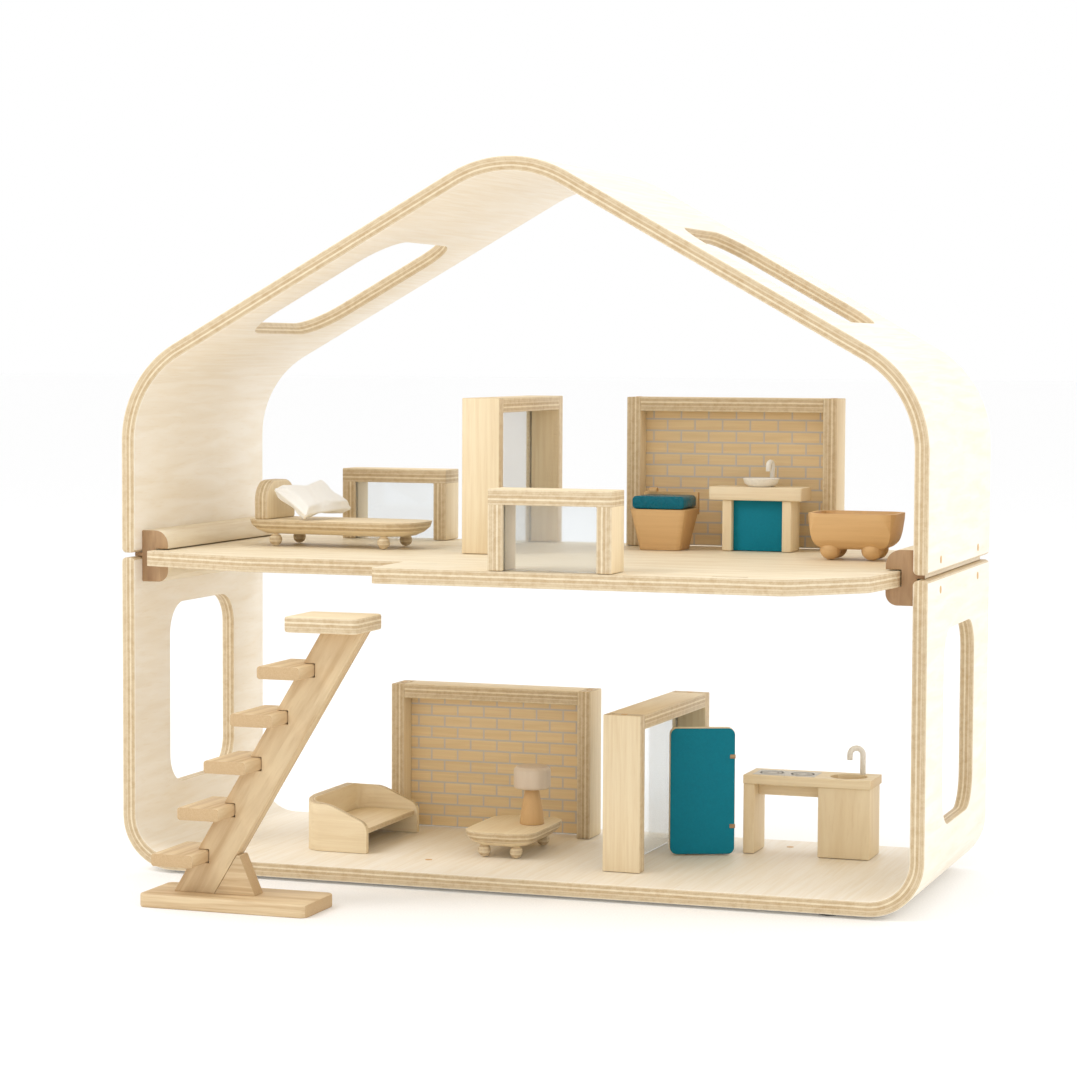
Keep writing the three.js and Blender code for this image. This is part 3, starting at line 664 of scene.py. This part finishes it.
# %% Door partition and glazed frames
DOOR_TURN = 88.0
TALL_TURN = 92.0
board("door_post_near", "X", "Z", DOOR_TURN)
board("door_post_far", "X", "Z", DOOR_TURN)
board("door_beam", "Z", "X", DOOR_TURN)
paint_node("door_pane", acrylic)


def frame_material(name, node_name, turn, half_width, beam_over_posts):
    """One glued frame: upright plies in the posts, level plies in the beam."""
    material, tree, shader = new_material(name)
    low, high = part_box(node_name)
    centre = middle_of(node_name)
    position, facing = local_place(tree, (centre[0], centre[1], low[2]), turn)
    height = high[2] - low[2]
    across = part_of(tree, position, "X")
    up = part_of(tree, position, "Z")
    if beam_over_posts:
        in_beam = calc(tree, "GREATER_THAN", up, height - PLY_THICKNESS)
    else:
        in_beam = calc(tree, "LESS_THAN", calc(tree, "ABSOLUTE", across), half_width - PLY_THICKNESS)
    post_depth = calc(tree, "SUBTRACT", half_width, calc(tree, "ABSOLUTE", across))
    beam_depth = calc(tree, "SUBTRACT", height, up)
    depth = node(tree, "ShaderNodeMix", {"data_type": "FLOAT"}, i0=in_beam, i2=post_depth, i3=beam_depth)
    share = calc(tree, "DIVIDE", depth.outputs[0], PLY_THICKNESS)
    upright = grain_on(tree, position, "frame_ply", "Z")
    level = grain_on(tree, position, "frame_ply", "X")
    face = blend_colours(tree, in_beam, upright["Color"], level["Color"])
    edge = plies_on(tree, position, share, BOARD_PLIES)
    sideways = part_of(tree, facing, "X")
    upwards = part_of(tree, facing, "Z")
    thin = node(tree, "ShaderNodeMix", {"data_type": "FLOAT"}, i0=in_beam, i2=sideways, i3=upwards)
    is_edge = calc(tree, "LESS_THAN", calc(tree, "ABSOLUTE", thin.outputs[0]), EDGE_FACING)
    colour = blend_colours(tree, is_edge, face, edge["Color"])
    finish_wood(tree, shader, colour, calc(tree, "MULTIPLY", edge["Height"], is_edge))
    return material


LOW_HALF = 0.037
TALL_HALF = 0.06925
for window, turn, half, over in (
    ("bedroom_window", 0.0, LOW_HALF, True),
    ("balcony_window", 0.0, LOW_HALF, True),
    ("tall_window", TALL_TURN, TALL_HALF, False),
):
    frame_name = window + "_frame"
    eased_copy(frame_name, frame_material(frame_name + "_ply", frame_name, turn, half, over))
    paint_node(window + "_pane", acrylic)
print("frames dressed")

# %% [markdown]
# ## The door leaf
# The leaf is painted on its two faces and bare round the rim. One material does both, and
# the direction of the surface chooses, so that the line follows the rounded edge.

# %% Door leaf
DOOR_TURN_OUT = 22.0


def door_material():
    """Teal paint on the two faces, bare pale wood round the rim."""
    material, tree, shader = new_material("door_leaf_finish")
    position, facing = local_place(tree, (0, 0, 0), DOOR_TURN_OUT)
    rim = grain_on(tree, position, "pale_ply", "Z")
    brush = node(tree, "ShaderNodeTexNoise", Vector=position, Scale=700.0, Detail=4.0)
    streak = node(tree, "ShaderNodeMapRange", i0=brush.outputs[0], i1=0.3, i2=0.7, i3=0.0, i4=0.25)
    paint = blend_colours(tree, streak.outputs[0], srgb(0, 128, 152), srgb(0, 102, 121))
    on_face = calc(tree, "GREATER_THAN", calc(tree, "ABSOLUTE", part_of(tree, facing, "Y")), 0.55)
    colour = blend_colours(tree, on_face, rim["Color"], paint)
    finish_wood(tree, shader, colour, brush.outputs[0], 0.6)
    shader.inputs["Specular IOR Level"].default_value = PAINT_SPECULAR
    return material


eased_copy("door_leaf", door_material(), 0.0012, 3)
print("door leaf painted")

# %% [markdown]
# ## Loose furniture
# The bed and the table are boards on balls, so their plies start above the balls. The lamp
# is turned from solid wood. The sofa is bent ply, so its plies run round the bend.

# %% Bed, table, lamp and sofa
BED_TURN = -3.0
BOARD_LIFT = 0.0078


def footed_material(name, node_name, along, turn):
    low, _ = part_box(node_name)
    centre = middle_of(node_name)
    place = (centre[0], centre[1], low[2])
    return board_material(name, "frame_ply", "Z", along, place, BOARD_LIFT, PLY_THICKNESS, turn)


eased_copy("bed_board", footed_material("bed_ply", "bed_board", "X", BED_TURN), 0.0003)
board("bed_headboard", "X", "Z", BED_TURN, width=0.0014)
eased_copy("coffee_table", footed_material("table_ply", "coffee_table", "Y", 0.0), 0.0003)
eased_copy("lamp_base", solid_material("lamp_base_wood", "moulded_wood", "Z"), 0.0005)
eased_copy("lamp_shade", solid_material("lamp_shade_wood", "shade_wood", "Z"), 0.0005)


SOFA_BEND = 0.014
SOFA_THICKNESS = 0.004
SOFA_PLIES = 5.0


def sofa_material():
    material, tree, shader = new_material("sofa_ply")
    low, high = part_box("sofa_wrap")
    centre = middle_of("sofa_wrap")
    position, facing = local_place(tree, (high[0], centre[1], low[2]), 0)
    back = calc(tree, "ADD", part_of(tree, position, "X"), (high[0] - low[0]))
    off_middle = calc(tree, "ABSOLUTE", part_of(tree, position, "Y"))
    side = calc(tree, "SUBTRACT", (high[1] - low[1]) / 2, off_middle)
    from_back = calc(tree, "MAXIMUM", calc(tree, "SUBTRACT", SOFA_BEND, back), 0.0)
    from_side = calc(tree, "MAXIMUM", calc(tree, "SUBTRACT", SOFA_BEND, side), 0.0)
    back_square = calc(tree, "MULTIPLY", from_back, from_back)
    side_square = calc(tree, "MULTIPLY", from_side, from_side)
    reach = calc(tree, "SQRT", calc(tree, "ADD", back_square, side_square))
    depth = calc(tree, "SUBTRACT", SOFA_BEND, reach)
    edge = plies_on(tree, position, calc(tree, "DIVIDE", depth, SOFA_THICKNESS), SOFA_PLIES)
    back_face = grain_on(tree, position, "frame_ply", "Y")
    side_face = grain_on(tree, position, "frame_ply", "X")
    toward_side = calc(tree, "ABSOLUTE", part_of(tree, facing, "Y"))
    on_side = node(tree, "ShaderNodeMapRange", i0=toward_side, i1=0.55, i2=0.85)
    face = blend_colours(tree, on_side.outputs[0], back_face["Color"], side_face["Color"])
    is_edge = calc(tree, "GREATER_THAN", part_of(tree, facing, "Z"), 0.5)
    colour = blend_colours(tree, is_edge, face, edge["Color"])
    finish_wood(tree, shader, colour, back_face["Height"])
    return material


eased_copy("sofa_wrap", sofa_material(), 0.0005)
board("sofa_seat", "Z", "Y", thickness=0.0035, plies=3.0)
print("living room and bedroom dressed")

# %% Bathroom and kitchen
eased_copy("toilet_body", solid_material("toilet_wood", "moulded_wood", "X"), 0.0006)
eased_copy("toilet_lid", lid_paint, 0.0008)
eased_copy("bathtub", solid_material("bathtub_wood", "moulded_wood", "X"), 0.0006)
eased_copy("vanity_top", solid_material("vanity_top_wood", "pale_ply", "X"), 0.0006)
eased_copy("vanity_leg_left", solid_material("vanity_leg_left_wood", "frame_ply", "Z"))
eased_copy("vanity_leg_right", solid_material("vanity_leg_right_wood", "frame_ply", "Z", (0.1, 0.2, 0.3)))
eased_copy("vanity_panel", teal_paint)
eased_copy("vanity_basin", white_paint, 0.0003)
eased_copy("kitchen_cabinet", solid_material("cabinet_wood", "frame_ply", "Z"))
eased_copy("kitchen_leg", solid_material("kitchen_leg_wood", "frame_ply", "Z", (0.3, 0.1, 0.2)))
eased_copy("kitchen_apron", solid_material("apron_wood", "frame_ply", "X"))
eased_copy("kitchen_top", solid_material("kitchen_top_wood", "frame_ply", "X", (0.1, 0.4, 0.2)), 0.0006)


def smooth_tap(node_name):
    piece = eased_copy(node_name, white_paint, 0.0001, 1)
    piece.data.set_sharp_from_angle(angle=math.radians(60))
    return piece


smooth_tap("vanity_tap")
smooth_tap("kitchen_tap")
print("bathroom and kitchen dressed")

# %% [markdown]
# ## Small turned and inlaid parts
# Dowel plugs cover the screws, two small tabs sit in the door's edge, and the hob is a
# printed patch with rings. The plugs and tabs are short bevelled discs and blocks, and the
# print is a very thin plate with flat bands on it. All stand just proud of their boards.


# %% Plugs, tabs and hob
def add_disc(form, centre, normal, radius, thickness):
    turn = Vector((0, 0, 1)).rotation_difference(Vector(normal)).to_matrix().to_4x4()
    place = Matrix.Translation(centre) @ turn
    made = bmesh.ops.create_cone(
        form, cap_ends=True, segments=24, radius1=radius, radius2=radius, depth=thickness, matrix=place
    )
    edges = dict.fromkeys(edge for vert in made["verts"] for edge in vert.link_edges)
    rims = [edge for edge in edges if edge.calc_face_angle(0) > SHARP]
    bmesh.ops.bevel(
        form, geom=rims, offset=thickness * 0.3, affect="EDGES", segments=2, profile=0.5, material=-1
    )


def finish_piece(name, form, material, body):
    mesh = bpy.data.meshes.new(name)
    bmesh.ops.recalc_face_normals(form, faces=form.faces)
    form.to_mesh(mesh)
    form.free()
    mesh.polygons.foreach_set("use_smooth", [True] * len(mesh.polygons))
    mesh.set_sharp_from_angle(angle=SHARP)
    mesh.materials.append(material)
    piece = bpy.data.objects.new(name, mesh)
    bpy.context.collection.objects.link(piece)
    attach(piece, body)
    print(name, "has", len(mesh.polygons), "faces")
    return piece


PLUG_R = 0.0023
PEG_R = 0.0021
PLUG_INWARD = (0.036, 0.154)
PLUG_HEIGHTS = (0.2075, 0.190)
end_grain = solid_material("plug_end_grain", "moulded_wood", "Y")
shell_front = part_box("base_shell")[0][1]
wall_plugs = bmesh.new()
for side in (-1, 1):
    for inward in PLUG_INWARD:
        for height in PLUG_HEIGHTS:
            where = (side * HALF_SHELL, shell_front + inward, height)
            add_disc(wall_plugs, where, (side, 0, 0), PLUG_R, 0.0005)
finish_piece("wall_plugs", wall_plugs, end_grain, "house")

floor_top = GROUND_LIFT + PLY_THICKNESS
floor_plugs = bmesh.new()
for across, inward in ((-0.066, 0.044), (0.134, 0.169)):
    add_disc(floor_plugs, (across, shell_front + inward, floor_top), (0, 0, 1), PLUG_R, 0.0003)
finish_piece("floor_plugs", floor_plugs, end_grain, "house")

for wall, body, posts in (
    ("bath_wall", "bath_wall", ("bath_wall_post_left", "bath_wall_post_right")),
    ("living_wall", "living_wall", ("living_wall_post_left", "living_wall_post_right")),
    ("door", "door_partition", ("door_post_near", "door_post_far")),
):
    pegs = bmesh.new()
    for post in posts:
        centre = middle_of(post)
        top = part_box(post)[1][2]
        add_disc(pegs, (centre[0], centre[1], top), (0, 0, 1), PEG_R, 0.0004)
    finish_piece(wall + "_pegs", pegs, end_grain, body)

# %% Door tabs
DOOR_ANGLE = math.radians(DOOR_TURN_OUT)
DOOR_WIDTH = 0.041
DOOR_DEEP = 0.008
TAB_HEIGHTS = (0.018, 0.062)
TAB_SIZE = (0.0036, 0.0022, 0.0026, 1)
leaf_low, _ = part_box("door_leaf")
hinge_corner = Vector((leaf_low[0] + DOOR_DEEP * math.sin(DOOR_ANGLE), leaf_low[1], leaf_low[2]))
leaf_turn = Matrix.Translation(hinge_corner) @ Matrix.Rotation(DOOR_ANGLE, 4, "Z")
tabs = bmesh.new()
for height in TAB_HEIGHTS:
    block = bmesh.ops.create_cube(tabs, size=1.0)
    at_edge = Matrix.Translation((DOOR_WIDTH - 0.0016, 0.0006, height))
    shape = at_edge @ Matrix.Diagonal(TAB_SIZE)
    bmesh.ops.transform(tabs, matrix=leaf_turn @ shape, verts=block["verts"])
bmesh.ops.bevel(
    tabs, geom=tabs.edges[:], offset=0.0004, affect="EDGES", segments=2, profile=0.5, material=-1
)
finish_piece("door_tabs", tabs, solid_material("tab_wood", "rail_end", "X"), "door")

# %% Printed hob
HOB_SIZE = (0.040, 0.022, 0.0002, 1)
RING_RADII = (0.0075, 0.0045)
RING_INNER = 0.86
RING_LIFT = 0.0001
worktop_low, worktop_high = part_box("kitchen_top")
worktop = worktop_high[2]
hob_centre = Vector((worktop_low[0] + 0.025, worktop_low[1] + 0.015, worktop))
hob = bmesh.new()
plate = bmesh.ops.create_cube(hob, size=1.0)
hob_place = Matrix.Translation(hob_centre) @ Matrix.Diagonal(HOB_SIZE)
bmesh.ops.transform(hob, matrix=hob_place, verts=plate["verts"])
finish_piece("hob_patch", hob, hob_print, "kitchen")
rings = bmesh.new()
for shift in (-0.010, 0.010):
    to_origin = Matrix.Translation(-hob_centre - Vector((shift, 0, 0)))
    ring_place = Matrix.Translation(hob_centre + Vector((shift, 0, RING_LIFT)))
    for radius in RING_RADII:
        circle = bmesh.ops.create_circle(rings, segments=32, radius=radius)
        bmesh.ops.transform(rings, matrix=ring_place, verts=circle["verts"])
        outline = dict.fromkeys(edge for vert in circle["verts"] for edge in vert.link_edges)
        band = bmesh.ops.extrude_edge_only(rings, edges=list(outline))
        inner = [item for item in band["geom"] if isinstance(item, bmesh.types.BMVert)]
        bmesh.ops.scale(rings, vec=(RING_INNER, RING_INNER, 1), space=to_origin, verts=inner)
bmesh.ops.solidify(rings, geom=rings.faces[:], thickness=0.0001)
finish_piece("hob_rings", rings, hob_ring_print, "kitchen")

# %% [markdown]
# ## The pillow
# A pillow is two pieces of cotton sewn together and stuffed, so it is thick in the middle
# and pinched at its rim. It is blown up by a short cloth simulation at ten times its
# size, where the solver is steady, then shrunk, turned and laid against the headboard.

# %% Pillow form before stuffing
BIG = 10.0
PILLOW_LONG = 0.0345
PILLOW_WIDE = 0.0475
PILLOW_THICK = 0.0044
PILLOW_ACROSS = Vector((13, 43.6, 3)).normalized()
PILLOW_CLIMB = Vector((-29, 8, 18))
BED_TURN_BACK = Matrix.Rotation(math.radians(BED_TURN), 4, "Z")
SWELL_CAP = 0.030
VOXEL = 0.010


def pillow_blank():
    form = bmesh.new()
    block = bmesh.ops.create_cube(form, size=1.0)
    size = Matrix.Diagonal((PILLOW_WIDE * BIG, PILLOW_LONG * BIG, PILLOW_THICK * BIG, 1))
    bmesh.ops.transform(form, matrix=size, verts=block["verts"])
    mesh = bpy.data.meshes.new("cotton_pillow")
    form.to_mesh(mesh)
    form.free()
    blank = bpy.data.objects.new("cotton_pillow", mesh)
    bpy.context.collection.objects.link(blank)
    remesh = blank.modifiers.new("even_mesh", "REMESH")
    remesh.mode = "VOXEL"
    remesh.voxel_size = VOXEL
    return blank


def bake(piece):
    """Replaces a piece's mesh with what its modifiers show now."""
    shown = piece.evaluated_get(bpy.context.evaluated_depsgraph_get())
    mesh = bpy.data.meshes.new_from_object(shown)
    piece.modifiers.clear()
    piece.data = mesh


pillow = pillow_blank()
bpy.context.view_layer.update()
bake(pillow)
start_points = [vert.co.copy() for vert in pillow.data.vertices]
print("pillow blank has", len(start_points), "points")

# %% Stuffing the pillow
STUFFING_FRAMES = 20
cloth = pillow.modifiers.new("stuffing", "CLOTH")
cloth.settings.quality = 6
cloth.settings.mass = 0.3
cloth.settings.use_pressure = True
cloth.settings.uniform_pressure_force = 4.0
cloth.settings.effector_weights.gravity = 0.0
cloth.settings.tension_stiffness = 12
cloth.settings.compression_stiffness = 12
cloth.settings.bending_stiffness = 0.4
scene = bpy.context.scene
for step in range(1, STUFFING_FRAMES + 1):
    scene.frame_set(step)
bake(pillow)
scene.frame_set(1)
for vert, start in zip(pillow.data.vertices, start_points):
    move = vert.co - start
    if move.length > SWELL_CAP:
        vert.co = start + move.normalized() * SWELL_CAP
print("pillow stuffed")


# %% Seam and place of the pillow
SEAM_START = 0.86
SEAM_PRESS = 0.62
FOLD_PRESS = 0.22
FOLD_WIDTH = 0.16
FOLD_SLANT = 0.04


def shape_pillow(vert, start):
    """Pulls the rim in to a seam and presses a soft fold across the middle."""
    half_wide = PILLOW_WIDE * BIG / 2
    half_long = PILLOW_LONG * BIG / 2
    near = max(abs(start.x) / half_wide, abs(start.y) / half_long)
    rim = max(0.0, (near - SEAM_START) / (1.0 - SEAM_START))
    vert.z *= 1.0 - SEAM_PRESS * min(rim, 1.0)
    off_fold = (vert.x - FOLD_SLANT * BIG * vert.y) / (FOLD_WIDTH * half_wide)
    vert.z *= 1.0 - FOLD_PRESS * math.exp(-(off_fold**2))


for vert, start in zip(pillow.data.vertices, start_points):
    shape_pillow(vert.co, start)
pillow_low, pillow_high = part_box("pillow")
pillow_middle = (Vector(pillow_low) + Vector(pillow_high)) / 2
climb = (PILLOW_CLIMB - PILLOW_ACROSS * PILLOW_CLIMB.dot(PILLOW_ACROSS)).normalized()
upward = PILLOW_ACROSS.cross(climb)
lean = BED_TURN_BACK @ Matrix((PILLOW_ACROSS, climb, upward)).transposed().to_4x4()
pillow.data.transform(Matrix.Translation(pillow_middle) @ lean @ Matrix.Scale(1 / BIG, 4))
finer = pillow.modifiers.new("soften", "SUBSURF")
finer.levels = 1
finer.render_levels = 1
pillow.data.polygons.foreach_set("use_smooth", [True] * len(pillow.data.polygons))
pillow.data.materials.clear()
pillow.data.materials.append(cotton)
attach(pillow, "cushion")
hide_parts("pillow")
print("pillow laid on the bed")

# %% The end
import json
